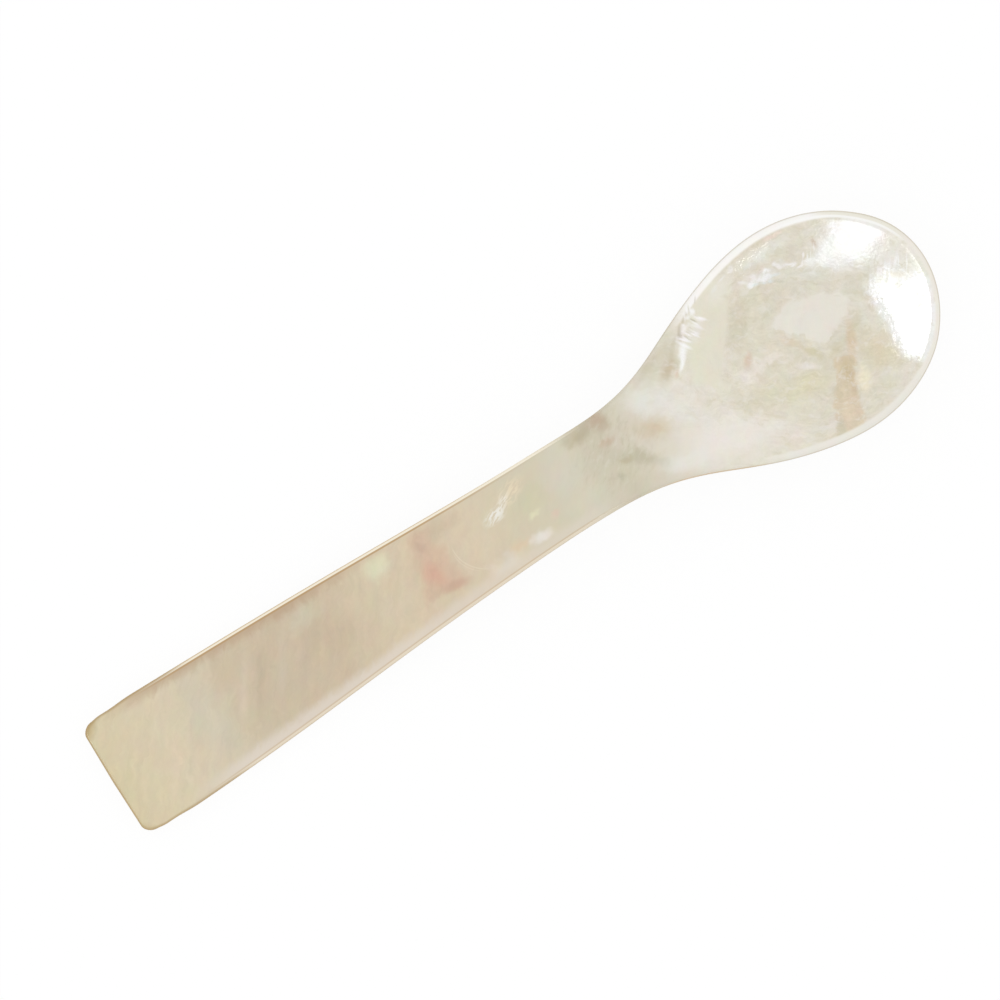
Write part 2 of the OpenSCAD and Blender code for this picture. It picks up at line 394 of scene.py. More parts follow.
def shifted(base, cloud, reach):
    """Places moved by a cloudy colour, up to half the reach each way."""
    parts = add("SeparateColor", {"Color": cloud}).outputs
    way = add("CombineXYZ", dict(zip("XYZ", parts))).outputs[0]
    made = tree.nodes.new("ShaderNodeVectorMath")
    made.operation = "MULTIPLY_ADD"
    tree.links.new(way, made.inputs[0])
    made.inputs[1].default_value = (reach, reach, reach)
    moved = add("Mapping", {"Vector": base, "Location": (-reach / 2, -reach / 2, -reach / 2)})
    tree.links.new(moved.outputs[0], made.inputs[2])
    return made.outputs[0]


def tinted(colour, cloud, reach):
    """A colour made lighter and darker by a cloud, up to half the reach each way, in each of red,
    green and blue if the cloud is coloured."""
    if cloud.type == "RGBA":
        factor = over(grey((1 - reach / 2) / (1 - reach)), cloud, reach)
    else:
        factor = over(grey(1 - reach / 2), grey(1 + reach / 2), cloud)
    return over(colour, factor, 1.0, "MULTIPLY")


def noise(place, size, detail=2.0, rough=0.5, stretch=(1, 1, 1), turn=0):
    """Cloudy noise with lumps of about one size in millimetres, stretched along a direction."""
    scale = [1 / (size * part) for part in stretch]
    turned = add("Mapping", {"Vector": place, "Rotation": (0, 0, -np.radians(turn))}).outputs[0]
    local = add("Mapping", {"Vector": turned, "Scale": scale}).outputs[0]
    inputs = {"Vector": local, "Scale": 1.0, "Detail": detail, "Roughness": rough}
    return add("TexNoise", inputs)


def ball(place, x, y, reach, across, turn=0):
    """Height of an oval cone over the plan: 1 in the middle, 0 at the rim and beyond, the same on
    every level."""
    every_level = 1000
    inputs = {"Vector": place, "Location": (x, y, 0), "Rotation": (0, 0, np.radians(turn)),
              "Scale": (reach, across, every_level)}
    local = add("Mapping", inputs, vector_type="TEXTURE").outputs[0]
    return add("TexGradient", {"Vector": local}, gradient_type="SPHERICAL").outputs["Fac"]


def spot(place, x, y, reach, across, turn=0, soft=0.6):
    """Share of an oval spot, 1 in the middle, which fades over a share of its reach to its rim."""
    return steps(ball(place, x, y, reach, across, turn), 0, soft)


def left_of(place, x0, y0, x1, y1, soft):
    """Share of the places to the left of a straight line through two points, fading over a
    width."""
    length = np.hypot(x1 - x0, y1 - y0)
    leftward = ((y0 - y1) / length, (x1 - x0) / length, 0)
    made = add("VectorMath", {0: place, 1: leftward}, operation="DOT_PRODUCT")
    line = x0 * leftward[0] + y0 * leftward[1]
    return steps(made.outputs["Value"], line - soft / 2, line + soft / 2)


def polygon(place, corners, soft):
    """Share of a patch with straight sides, whose corners go round against the clock."""
    following = corners[1:] + corners[:1]
    return product(*(left_of(place, *start, *end, soft) for start, end in zip(corners, following)))


def arc(place, x, y, reach, across, turn, width):
    """Share of a thin oval line, which halves the way from the middle of its oval to the rim."""
    off = sums("ABSOLUTE", sums("SUBTRACT", ball(place, x, y, 2 * reach, 2 * across, turn), 0.5))
    return steps(off, width / (2 * reach), 0)


object_place = add("TexCoord", {}).outputs["Object"]
place = add("Mapping", {"Vector": object_place, "Scale": (1 / MM, 1 / MM, 1 / MM)}).outputs[0]
facing_up = add("Attribute", {}, attribute_name="facing_up").outputs["Fac"]
from_edge = add("Attribute", {}, attribute_name="from_edge").outputs["Fac"]
along = add("SeparateXYZ", {"Vector": place})
place_x = along.outputs["X"]
place_y = along.outputs["Y"]

# Layers are cut at a slant, so patches have ragged, slightly angular borders
wandered = shifted(place, noise(place, 3.2, 2).outputs["Color"], 2.4)
wandered = shifted(wandered, noise(place, 0.8, 2).outputs["Color"], 0.8)
tiles = add("TexVoronoi", {"Vector": wandered, "Scale": 0.9}).outputs["Color"]
drift = noise(place, 1.1, 1).outputs["Color"]
nudged = shifted(place, drift, 0.6)
bent = shifted(place, drift, 0.25)
ragged = shifted(nudged, tiles, 0.5)

# Colours along the spoon, as shares of its length from the end of the handle
wandered_x = add("SeparateXYZ", {"Vector": wandered}).outputs["X"]
along_share = sums("ADD", sums("DIVIDE", wandered_x, spoon_l), 0.5)
body_ramp = add("ValToRGB", {"Fac": along_share})
body_colours = (
    (0.0, (214, 200, 160)),
    (0.07, (218, 202, 171)),
    (0.12, (211, 198, 168)),
    (0.17, (204, 187, 157)),
    (0.27, (202, 183, 153)),
    (0.33, (213, 196, 164)),
    (0.4, (214, 195, 165)),
    (0.45, (217, 200, 170)),
    (0.53, (211, 202, 174)),
    (0.57, (213, 206, 183)),
    (0.62, (206, 197, 172)),
    (0.67, (223, 216, 198)),
    (0.72, (232, 226, 211)),
    (0.79, (229, 222, 202)),
    (0.88, (226, 219, 200)),
    (1.0, (238, 234, 222)),
)
stops = body_ramp.color_ramp.elements
while len(stops) < len(body_colours):
    stops.new(0.5)
for stop, (share, colour) in zip(stops, body_colours):
    stop.position = share
    stop.color = tone(*colour)
colour = body_ramp.outputs["Color"]


def laid(colour, base, rows):
    """Soft oval patches laid over a colour, one row each: x, y, reach along, reach across, turn,
    softness of the rim, colour and share."""
    for x, y, reach, across, turn, soft, tint, share in rows:
        shown = product(spot(base, x, y, reach, across, turn, soft), share)
        colour = over(colour, tone(*tint), shown)
    return colour


# Soft patches of the upper face
patches = (
    (-45.5, -1.0, 3.4, 9.0, 0, 0.9, (208, 197, 172), 0.8),
    (-41.0, 4.4, 3.0, 3.2, 0, 0.9, (203, 183, 151), 0.6),
    (-29.5, 4.4, 4.2, 2.2, 8, 0.9, (208, 198, 171), 0.7),
    (-27.5, 0.6, 5.5, 3.6, 0, 0.9, (199, 177, 147), 0.7),
    (-18.0, 4.5, 3.2, 2.0, 0, 0.9, (224, 219, 184), 0.9),
    (-18.5, -0.5, 4.4, 4.0, 0, 0.9, (215, 199, 169), 0.6),
    (-9.4, 4.7, 4.6, 1.6, 0, 0.9, (203, 183, 152), 0.8),
    (-4.0, -3.5, 3.6, 1.6, 0, 0.9, (226, 215, 198), 0.8),
    (2.5, 1.3, 4.4, 2.4, 10, 0.9, (208, 202, 168), 0.8),
    (1.8, 3.6, 2.6, 1.3, 15, 0.9, (218, 201, 170), 0.7),
    (2.2, -0.6, 1.5, 0.6, 20, 0.9, (228, 223, 186), 0.7),
    (-1.6, -2.8, 2.2, 1.2, 0, 0.9, (221, 197, 165), 0.8),
    (1.3, -3.2, 2.4, 1.2, -8, 0.8, (236, 229, 217), 0.9),
    (4.2, -2.0, 0.9, 0.7, 0, 0.9, (222, 196, 174), 0.7),
    (7.5, 1.5, 4.0, 3.0, 0, 0.9, (214, 207, 187), 0.7),
    (8.5, -2.0, 5.0, 1.6, 10, 0.9, (215, 208, 185), 0.6),
    (12.0, 4.7, 3.4, 1.8, 0, 0.9, (184, 173, 143), 0.9),
    (14.6, 4.8, 1.9, 2.0, 0, 0.9, (188, 165, 137), 0.85),
    (14.6, 2.0, 1.5, 0.8, 10, 0.9, (198, 171, 144), 0.8),
    (15.2, -0.9, 1.1, 0.8, -20, 0.8, (188, 162, 126), 0.8),
    (13.7, -2.5, 0.8, 0.6, 0, 0.8, (182, 175, 151), 0.7),
    (16.9, -1.8, 4.6, 1.6, -38, 0.9, (190, 182, 154), 0.8),
    (19.0, -3.6, 2.2, 1.2, -30, 0.9, (204, 199, 178), 0.7),
    (13.0, 0.5, 4.6, 4.2, 0, 0.9, (205, 197, 172), 0.5),
    (20.0, 0.6, 3.4, 2.3, -40, 0.9, (210, 194, 162), 0.8),
    (20.2, 0.6, 2.6, 0.6, -58, 0.9, (216, 192, 166), 0.4),
    # This row and the five after it are the whitish cloudy band over the throat and along the lower
    # wall: pale layers with a painted sheen over them
    (21.5, 4.2, 4.0, 2.6, -35, 0.8, (231, 230, 219), 0.9),
    (24.5, 0.4, 7.5, 1.9, -48, 0.8, (233, 229, 220), 0.8),
    (22.0, -5.2, 6.0, 2.2, -20, 0.8, (235, 232, 222), 0.8),
    (29.0, -6.0, 9.5, 3.6, -28, 0.7, (240, 234, 224), 0.9),
    (34.0, -9.6, 5.5, 2.2, -22, 0.8, (234, 226, 211), 0.8),
    (38.5, -11.2, 4.0, 1.4, -12, 0.8, (231, 227, 213), 0.8),
    (35.6, 5.2, 5.2, 2.2, 52, 0.7, (216, 209, 185), 0.8),
    (35.6, 10.2, 3.6, 1.8, 20, 0.8, (236, 230, 217), 0.8),
    (36.2, 0.0, 4.2, 1.3, -10, 0.8, (241, 233, 223), 0.85),
    (33.4, -0.4, 2.8, 1.2, -35, 0.8, (242, 235, 226), 0.8),
    (31.6, -3.2, 3.6, 1.8, -40, 0.9, (217, 209, 186), 0.7),
    (41.0, 5.6, 5.0, 2.4, -20, 0.9, (224, 217, 194), 0.6),
    (46.5, 7.0, 5.0, 2.4, -25, 0.9, (229, 228, 213), 0.7),
    (36.0, -4.0, 5.0, 2.8, -35, 0.9, (221, 214, 184), 0.6),
    (39.5, -5.5, 4.6, 2.6, 0, 0.9, (226, 219, 184), 0.7),
    (48.8, -6.5, 3.4, 5.0, 10, 0.9, (224, 212, 178), 0.75),
    (46.0, -11.0, 5.0, 2.0, 0, 0.9, (226, 220, 200), 0.7),
    (51.5, 2.0, 3.0, 3.4, 0, 0.9, (226, 220, 201), 0.7),
    # Painted light in the gap between the two highlights by the tip
    (56.0, 3.2, 3.8, 2.6, 0, 0.9, (244, 241, 232), 0.85),
)
colour = laid(colour, wandered, patches)

# Where a layer is cut through, its patch has straight sides: corners, softness, colour, share. They
# are the rose, the cream wall under the lip, the pale layer in the bowl and the brown one. The two
# whitish ones by the tip are painted highlights, laid under the lamps' own
pale_layer = ((39.3, 3.4), (40.8, 1.3), (42.7, -0.9), (44.1, -2.2), (47.8, -0.7), (49.3, 1.2),
              (47.9, 2.9), (42.4, 4.9))
cream_wall = ((27.3, 2.8), (29.4, 0.5), (31.2, 1.6), (33.6, 4.6), (36.4, 8.2), (38.6, 11.8),
              (33.5, 12.2), (29.2, 7.7))
rose = ((-15.2, -2.6), (-9.2, -3.2), (-10.6, 5.4), (-12.6, 5.4))
brown_layer = ((38.8, -12.8), (42.3, -13.6), (46.1, -5.2), (43.8, -4.4))
upper_tip_highlight = ((46.8, 6.6), (52.6, 3.4), (57.8, 5.2), (56.8, 8.4), (52.6, 10.4))
lower_tip_highlight = ((51.3, -8.9), (53.4, -11.4), (57.4, -7.4), (59.0, -2.0), (55.4, 2.4), (51.6, 0.8))
for base, corners, soft, tint, share in (
    (wandered, rose, 1.8, (211, 178, 150), 0.75),
    (nudged, cream_wall, 0.9, (232, 227, 206), 0.9),
    (ragged, pale_layer, 0.7, (238, 233, 221), 0.95),
    (ragged, brown_layer, 0.7, (221, 203, 173), 0.9),
    (ragged, upper_tip_highlight, 1.8, (247, 247, 245), 0.8),
    (ragged, lower_tip_highlight, 1.2, (248, 248, 246), 0.85),
):
    colour = over(colour, tone(*tint), product(polygon(base, corners, soft), share))

# Smaller patches on and beside them
small_patches = (
    (-37.2, 0.8, 7.5, 1.7, 57, 1.0, (195, 174, 144), 0.75),
    (-40.3, 0.4, 6.0, 0.9, 57, 1.0, (216, 200, 174), 0.5),
    (-34.4, 0.8, 6.5, 1.0, 57, 1.0, (207, 190, 172), 0.35),
    (-32.0, -0.6, 6.0, 1.2, 57, 1.0, (198, 179, 153), 0.6),
    (-12.3, -0.3, 3.0, 2.0, -70, 0.9, (214, 167, 140), 0.8),
    (-10.8, -0.6, 2.4, 1.4, -60, 0.9, (211, 182, 156), 0.6),
    (-11.0, -2.6, 3.2, 1.0, -8, 0.9, (201, 163, 138), 0.8),
    (25.6, 7.4, 5.6, 2.0, 30, 0.9, (210, 203, 180), 0.8),
    (25.9, 5.7, 3.0, 1.3, 36, 0.9, (196, 182, 150), 0.85),
    (23.4, 7.1, 4.4, 0.8, 22, 0.9, (198, 190, 164), 0.5),
    (27.6, 7.6, 2.2, 0.5, 45, 0.9, (196, 188, 160), 0.5),
    (26.3, 4.6, 0.9, 0.5, 40, 0.9, (218, 190, 170), 0.6),
    # Painted sheen: a whitish patch under the glints of the lip
    (31.0, 8.2, 3.0, 1.5, 40, 0.9, (236, 234, 226), 0.7),
    (32.4, 7.0, 1.6, 0.9, 50, 0.9, (232, 224, 206), 0.6),
    (-12.1, 3.6, 1.7, 0.8, -75, 0.9, (198, 166, 140), 0.6),
    (44.3, -6.3, 2.8, 1.4, 61, 1.0, (206, 188, 147), 0.85),
    (44.2, -8.0, 3.6, 0.6, 61, 0.9, (208, 187, 152), 0.7),
    (42.0, -9.4, 2.8, 0.5, 63, 0.9, (228, 210, 182), 0.6),
    (41.4, -11.2, 2.0, 1.0, 61, 0.8, (232, 213, 184), 0.8),
    (39.7, -12.2, 2.0, 0.9, 61, 0.8, (208, 201, 175), 0.9),
    (45.5, -8.5, 2.6, 1.3, 62, 0.9, (251, 239, 209), 0.8),
    (47.0, -3.2, 3.0, 1.0, 62, 0.8, (219, 197, 162), 0.8),
    (48.6, -2.0, 2.2, 0.9, 45, 0.8, (215, 204, 172), 0.6),
    (44.8, -3.6, 2.2, 0.8, 20, 0.8, (216, 206, 174), 0.6),
    (38.6, -1.0, 1.6, 0.9, -30, 0.6, (236, 229, 217), 0.8),
    (34.6, 1.2, 1.5, 0.8, 45, 0.9, (224, 196, 172), 0.75),
    (40.4, 0.2, 2.2, 1.0, -60, 0.8, (226, 208, 182), 0.8),
    (42.0, -2.2, 2.2, 0.8, -60, 0.8, (212, 203, 168), 0.8),
    (40.6, -3.4, 2.2, 0.7, -35, 0.8, (238, 231, 221), 0.8),
    (49.4, 9.1, 1.0, 0.45, 80, 0.9, (196, 172, 140), 0.9),
    (43.0, 11.4, 4.8, 1.4, -4, 0.9, (239, 239, 231), 0.8),
    (50.0, 10.2, 2.2, 1.2, -20, 0.9, (230, 226, 214), 0.6),
    (55.8, 0.4, 2.6, 0.7, -38, 0.9, (238, 228, 208), 0.7),
    (36.4, 10.4, 3.2, 1.8, 20, 0.8, (239, 233, 220), 0.8),
    (45.6, 12.6, 2.0, 0.5, -8, 0.9, (246, 224, 210), 0.7),
    (-59.4, 7.2, 2.8, 1.6, 45, 0.9, (182, 154, 96), 0.85),
    (-59.5, -7.6, 1.8, 1.2, -45, 0.9, (204, 186, 140), 0.6),
)
colour = laid(colour, nudged, small_patches)

# Painted glints where the layers are wrinkled and some lie square to the light, with darker lines
# beside them: x, y, reach, across, turn, colour and share
draw = np.random.default_rng(5)
painted_glints_and_lines = [
    (29.3, 8.7, 1.5, 0.5, 60, (182, 176, 152), 0.75),
    (30.3, 9.6, 1.2, 0.3, 50, (196, 190, 168), 0.6),
]


def strokes(count, start, end, stray, reach, across, turn, tint, share):
    """Rows for fine strokes spread between two places at random, straying a little from the line
    between them, of uneven length, width and strength."""
    rows = []
    for way in (np.arange(count) + draw.uniform(0, 1, count)) / count:
        off = draw.uniform(-stray, stray, 2)
        x, y = np.array(start) + way * (np.array(end) - start) + off
        uneven = draw.uniform(0.6, 1.4, 3)
        rows.append((float(x), float(y), reach * uneven[0], across * uneven[1],
                     turn + float(draw.uniform(-9, 9)), tint, min(1.0, share * uneven[2])))
    return rows


# Close lines run across the lip, dark and bright in turn, and others lie along the far wall; the
# bright ones are painted glints
painted_glints_and_lines += strokes(11, (29.0, 7.0), (32.3, 9.0), 0.5, 1.1, 0.26, -56, (252, 250, 249), 0.8)
painted_glints_and_lines += strokes(8, (29.2, 7.4), (32.2, 9.3), 0.45, 0.8, 0.16, -58, (188, 182, 162), 0.4)
painted_glints_and_lines += strokes(7, (29.8, 8.6), (32.6, 10.4), 0.4, 0.6, 0.45, 30, (251, 250, 248), 0.75)
painted_glints_and_lines += strokes(12, (39.4, 9.2), (44.0, 8.8), 0.7, 0.9, 0.5, -20, (254, 254, 254), 0.85)
painted_glints_and_lines += strokes(8, (39.6, 8.8), (43.8, 9.4), 0.8, 0.7, 0.4, 40, (253, 249, 249), 0.8)
painted_glints_and_lines += strokes(4, (40.0, 8.4), (43.6, 8.0), 0.3, 0.9, 0.3, -20, (230, 240, 242), 0.7)
painted_glints_and_lines += strokes(5, (40.0, 8.6), (43.6, 9.4), 0.6, 0.7, 0.2, 30, (206, 200, 182), 0.5)
painted_glints_and_lines += strokes(7, (44.2, 8.8), (48.4, 7.4), 0.6, 0.8, 0.3, -10, (248, 247, 244), 0.7)
painted_glints_and_lines += strokes(5, (46.8, 7.9), (49.2, 8.4), 0.5, 0.8, 0.18, 55, (251, 249, 246), 0.8)
painted_glints_and_lines += strokes(4, (36.0, 11.2), (40.0, 12.0), 0.3, 0.8, 0.3, 10, (246, 244, 238), 0.6)
# Painted light and shade at the borders of the two highlights, in fine streaks where the light
# just misses or catches them
painted_glints_and_lines += strokes(12, (52.2, 1.2), (57.8, 1.0), 0.9, 1.8, 0.22, 54, (252, 252, 249), 0.7)
painted_glints_and_lines += strokes(5, (53.0, 2.4), (57.0, 3.4), 0.6, 1.3, 0.2, 50, (222, 214, 194), 0.5)
painted_glints_and_lines += strokes(13, (51.9, 0.4), (52.0, -8.6), 0.25, 0.5, 0.16, 20, (255, 255, 254), 0.9)
painted_glints_and_lines += strokes(6, (48.8, 7.6), (52.6, 9.4), 0.2, 0.7, 0.16, -20, (252, 251, 247), 0.7)
# A painted glint along the lip, and painted glints along the far wall, with a few darker places
painted_glints_and_lines += [
    (27.5, 5.4, 1.7, 0.45, 50, (254, 253, 252), 1.0),
    (28.4, 6.5, 1.6, 0.75, 48, (253, 252, 251), 0.95),
    (41.6, 9.0, 2.8, 1.1, -14, (240, 241, 239), 0.75),
    (40.6, 9.6, 1.5, 0.8, -30, (242, 234, 230), 0.7),
    (42.2, 9.9, 1.2, 0.4, 20, (234, 218, 206), 0.6),
    (41.0, 11.0, 1.2, 0.5, 0, (236, 236, 229), 0.6),
    (44.7, 9.0, 1.3, 0.8, -60, (238, 237, 229), 0.6),
    (43.2, 7.4, 1.3, 0.4, -30, (206, 202, 182), 0.6),
    (47.9, 7.2, 1.8, 0.9, -18, (249, 248, 245), 0.8),
    (36.8, 9.2, 1.2, 0.5, -40, (224, 215, 196), 0.6),
    (39.0, 10.4, 1.6, 0.5, 20, (222, 214, 196), 0.6),
]
glints = 0.0
for x, y, reach, across, turn, tint, share in painted_glints_and_lines:
    shown = product(spot(nudged if across > 0.35 else bent, x, y, reach, across, turn, 0.9), share)
    colour = over(colour, tone(*tint), shown)
    if min(tint) > 240:
        glints = sums("ADD", glints, product(shown, 0.5))

# Growth lines run aslant over the handle, and play of colour in clouds is all over: the nacre's
# iridescence, painted into the colour
growth = noise(wandered, 1.1, 3, 0.6, (7, 1, 1), 55).outputs["Fac"]
slant = noise(wandered, 0.5, 2, 0.6, (9, 1, 1), 48).outputs["Fac"]
on_handle = steps(place_x, 12.0, -14.0)
colour = over(colour, tinted(tinted(colour, growth, 0.22), slant, 0.12), on_handle)
play = noise(place, 1.8, 3, 0.6, (1.6, 1, 1), 55).outputs["Color"]
colour = tinted(colour, play, 0.14)

# Thin pale lines where a layer ends
line_colour = tone(232, 218, 190)
fade = 0.6
for x, y, reach, across, turn, width, low_y, high_y, share in (
    (-3.9, 0.9, 5.0, 4.6, 0, 0.13, -3.0, 1.4, 0.5),
    (-3.6, 0.4, 5.5, 4.4, 0, 0.10, -2.6, 0.6, 0.4),
):
    shown = product(arc(place, x, y, reach, across, turn, width), steps(place_x, -5.0, -7.5),
                    steps(place_y, low_y - fade, low_y + fade),
                    steps(place_y, high_y + fade, high_y - fade))
    colour = over(colour, line_colour, product(shown, share))

# The bowl's layers are crumpled like foil: fine creases, and small soft facets between them
facets = add("TexVoronoi", {"Vector": wandered, "Scale": 1.5, "Smoothness": 0.4},
             feature="SMOOTH_F1")
folds = noise(wandered, 0.5, 4, 0.65, (2.4, 1, 1), -38).outputs["Fac"]
in_bowl = steps(place_x, 16.0, 30.0)
calm_layers = sums("MAXIMUM", polygon(ragged, pale_layer, 0.7), polygon(nudged, cream_wall, 0.9))
calm_layers = sums("MAXIMUM", calm_layers, spot(wandered, 26.0, -5.6, 11.0, 4.2, -26, 0.7))
calm_layers = sums("MAXIMUM", calm_layers, spot(nudged, 53.4, 6.8, 5.4, 3.2, -10, 0.6))
calm = sums("SUBTRACT", 1, product(0.8, calm_layers))
crumpled = product(in_bowl, calm, sums("SUBTRACT", 1, sums("MINIMUM", glints, 1)))
mottled = noise(wandered, 1.3, 4, 0.65, (1.8, 1, 1), -30).outputs["Fac"]
# Painted light and shade of the creases, then blotches of darker and lighter tone
colour = over(colour, tinted(colour, folds, 0.36), crumpled)
colour = over(colour, tone(206, 196, 162), product(crumpled, steps(mottled, 0.5, 0.68), 0.35))
colour = over(colour, tone(240, 235, 229), product(crumpled, steps(mottled, 0.48, 0.32), 0.4))

# At the neck darker, greenish layers come through in fine streaks
streaks = noise(nudged, 0.5, 3, 0.6, (2.6, 1, 1), 40).outputs["Fac"]
at_neck = spot(wandered, 14.5, 0.5, 8.5, 8.0, 0, 0.8)
colour = over(colour, tone(184, 176, 148), product(at_neck, steps(streaks, 0.5, 0.7), 0.35))
colour = over(colour, tone(226, 220, 204), product(at_neck, steps(streaks, 0.48, 0.3), 0.3))

# A silver streak of fine fibres on the handle, a painted highlight on their relief, with a paler
# tail
fibres = steps(noise(nudged, 0.24, 2, 0.5, (6, 1, 1), 26).outputs["Fac"], 0.38, 0.56, 0.1, 1.0)
for x, y, reach, across, turn, tint, share in (
    (0.8, 3.4, 3.4, 1.6, 26, (233, 217, 184), 0.95),
    (-2.3, 2.0, 2.3, 1.2, 14, (242, 240, 231), 0.9),
    (-0.8, 2.7, 2.2, 0.8, 34, (242, 238, 226), 0.9),
    (-2.0, 1.4, 1.2, 0.4, -10, (236, 231, 214), 0.6),
):
    shown = product(spot(nudged, x, y, reach, across, turn, 0.9), fibres, share)
    colour = over(colour, tone(*tint), shown)

# The rim is bare shell, thin enough to let light through, which is painted as a paler colour: pale
# below, beige round the tip and whitest along its upper side, there a painted reflection of the low
# lamp at the right, with a fine darker line outermost
thinned = sums("ADD", from_edge, steps(place_x, 49.0, 56.0, 0.0, 0.4))
rim_share = product(steps(thinned, 1.2, 0.8), steps(place_x, 28.0, 33.0))
painted_rim_reflection = product(steps(place_y, 6.0, 10.5), steps(place_x, 56.0, 50.0))
rim_colour = over(tone(238, 234, 223), tone(243, 238, 227), steps(place_x, 47.0, 57.0))
rim_colour = over(rim_colour, tone(255, 253, 249), painted_rim_reflection)
rim_colour = tinted(rim_colour, noise(place, 1.6, 3).outputs["Color"], 0.1)
colour = over(colour, rim_colour, rim_share)
above = steps(place_y, 2.0, 6.0)
outer_rim = product(above, steps(place_x, 50.5, 53.0), steps(from_edge, 0.6, 0.4))
colour = over(colour, tone(240, 237, 222), product(outer_rim, 0.8))
# Painted highlight: a thin white line just inside the rim, along the upper side by the tip
painted_lip_highlight = product(steps(from_edge, 0.5, 0.62), steps(from_edge, 0.95, 0.75), above)
colour = over(colour, tone(255, 255, 252), product(painted_lip_highlight, steps(place_x, 45.0, 48.0), 0.8))
outer_line = product(steps(from_edge, 0.22, 0.08), steps(place_x, 19.0, 25.0))
colour = over(colour, tone(200, 193, 175), product(outer_line, 0.5))

# Crossed strokes at the upper rim, where the lip meets it: the bright ones painted glints, the dark
# ones lines between them
crossed_glints_and_lines = strokes(6, (30.6, 10.1), (33.4, 11.6), 0.2, 0.9, 0.17, 60, (253, 251, 250), 0.8)
crossed_glints_and_lines += strokes(4, (30.8, 10.3), (33.6, 11.6), 0.2, 0.8, 0.15, -30, (253, 251, 250), 0.6)
crossed_glints_and_lines += strokes(5, (30.6, 10.0), (33.4, 11.4), 0.2, 0.7, 0.13, 60, (196, 190, 175), 0.4)
for x, y, reach, across, turn, tint, share in crossed_glints_and_lines:
    colour = over(colour, tone(*tint), product(spot(bent, x, y, reach, across, turn, 0.9), share))


def edge_line(start, end, soft=0.07):
    """Share of a line along the outline, between two distances from it."""
    return product(steps(from_edge, start - soft, start), steps(from_edge, end + soft, end))


# Fine lines along both edges of the handle. Along the upper edge a pale one, a painted highlight on
# the rounded edge, and a dark one where the layers end, over a brown band; along the lower edge two
# gold ones where the layers end, over a lilac band, a painted reflection where the crowned face
# turns down
upper_edge = steps(place_y, 1.0, 2.0)
lower_edge = steps(place_y, -1.0, -2.0)
lined = product(steps(place_x, -54.0, -44.0), steps(place_x, 14.0, 5.0))
tan_line = product(steps(place_x, 16.0, 20.0), steps(place_x, 31.0, 27.0))
cloudy_edge = sums("ADD", from_edge, product(growth, 1.6))
for tint, share in (
    ((184, 152, 116), product(steps(cloudy_edge, 2.8, 1.4), upper_edge,
                              steps(place_x, -60.0, -48.0), steps(place_x, -14.0, -30.0), 0.65)),
    ((184, 146, 92), product(edge_line(0.42, 0.56), upper_edge, lined,
                             steps(place_x, 8.0, -14.0), 0.85)),
    # Painted highlight on the rounded upper edge
    ((255, 246, 224), product(edge_line(0.0, 0.32), upper_edge, lined, 0.95)),
    ((204, 166, 104), product(edge_line(0.0, 0.07), upper_edge, lined,
                              steps(place_x, 4.0, -10.0), 0.6)),
    # Painted reflection where the crowned face turns down to the lower edge
    ((228, 216, 202), product(steps(cloudy_edge, 3.2, 1.7), lower_edge, lined,
                              steps(place_x, 0.0, -26.0, 0.45, 0.75))),
    ((194, 160, 106), product(edge_line(0.42, 0.54), lower_edge, lined, 0.4)),
    ((240, 226, 200), product(edge_line(0.12, 0.36), lower_edge, lined, 0.7)),
    ((214, 184, 144), product(edge_line(0.0, 0.14), lower_edge, tan_line, 0.6)),
    ((196, 164, 106), product(steps(from_edge, 0.2, 0.05),
                              steps(place_x, -10.0, -50.0, 0.15, 0.5))),
    ((170, 138, 80), product(steps(from_edge, 0.45, 0.12),
                             steps(place_x, -43.0, -48.0), 0.6)),
):
    colour = over(colour, tone(*tint), share)

# The back shows layers nearer the outside of the shell, in broad slanting bands
bands = noise(wandered, 5.0, 3, 0.5, (3, 1, 1), -50).outputs["Fac"]
back_colour = over(tone(204, 190, 160), tone(232, 226, 212), steps(bands, 0.3, 0.7))
back_colour = tinted(tinted(back_colour, growth, 0.2), noise(place, 2.2, 3).outputs["Color"], 0.28)
colour = over(colour, back_colour, steps(facing_up, 0.6, 0.35))

# Silky sheen, silver at the glints. Fine relief of the layers shows in the sheen, and the polish
# over them follows it only a little. The outermost edge is ground, not polished
polished_part = steps(from_edge, 0.25, 0.6)
sheen = product(sums("ADD", 0.2, product(glints, 0.25)), polished_part)
grain = noise(wandered, 0.35, 2, 0.6, (3, 1, 1), 52).outputs["Fac"]
creases = sums("ADD", product(facets.outputs["Distance"], 0.02), product(folds, 0.02))
smooth_parts = sums("MAXIMUM", spot(nudged, 44.3, 1.5, 5.2, 3.4, -12, 0.3),
                    spot(nudged, 33.0, 6.5, 7.5, 3.4, 52, 0.3))
crumple = product(in_bowl, sums("SUBTRACT", 1, product(0.8, smooth_parts)))
scuffs = product(noise(place, 0.32, 2, 0.5, (4.0, 1, 1), 57).outputs["Fac"], in_bowl, 0.012)
relief = sums("ADD", sums("ADD", product(creases, crumple), product(grain, 0.001)), scuffs)
polished = sums("ADD", product(creases, crumple, 0.06), scuffs)
layer_slope = add("Bump", {"Height": relief, "Strength": 1.0, "Distance": MM}).outputs[0]
polish_slope = add("Bump", {"Height": polished, "Strength": 1.0, "Distance": MM}).outputs[0]
roughness = steps(noise(place, 3.0, 3).outputs["Fac"], 0.3, 0.7, 0.06, 0.11)
roughness = sums("MAXIMUM", roughness, steps(from_edge, 0.4, 0.1, 0.0, 0.5))
layers = {"Base Color": colour, "Roughness": roughness, "Metallic": sheen, "IOR": 1.6,
          "Normal": layer_slope}
gloss = {"Coat Weight": polished_part, "Coat IOR": 1.6, "Coat Roughness": 0.04,
         "Coat Normal": polish_slope}
shader = add("BsdfPrincipled", {**layers, **gloss})
add("OutputMaterial", {"Surface": shader.outputs[0]})
spoon.data.materials.append(nacre)

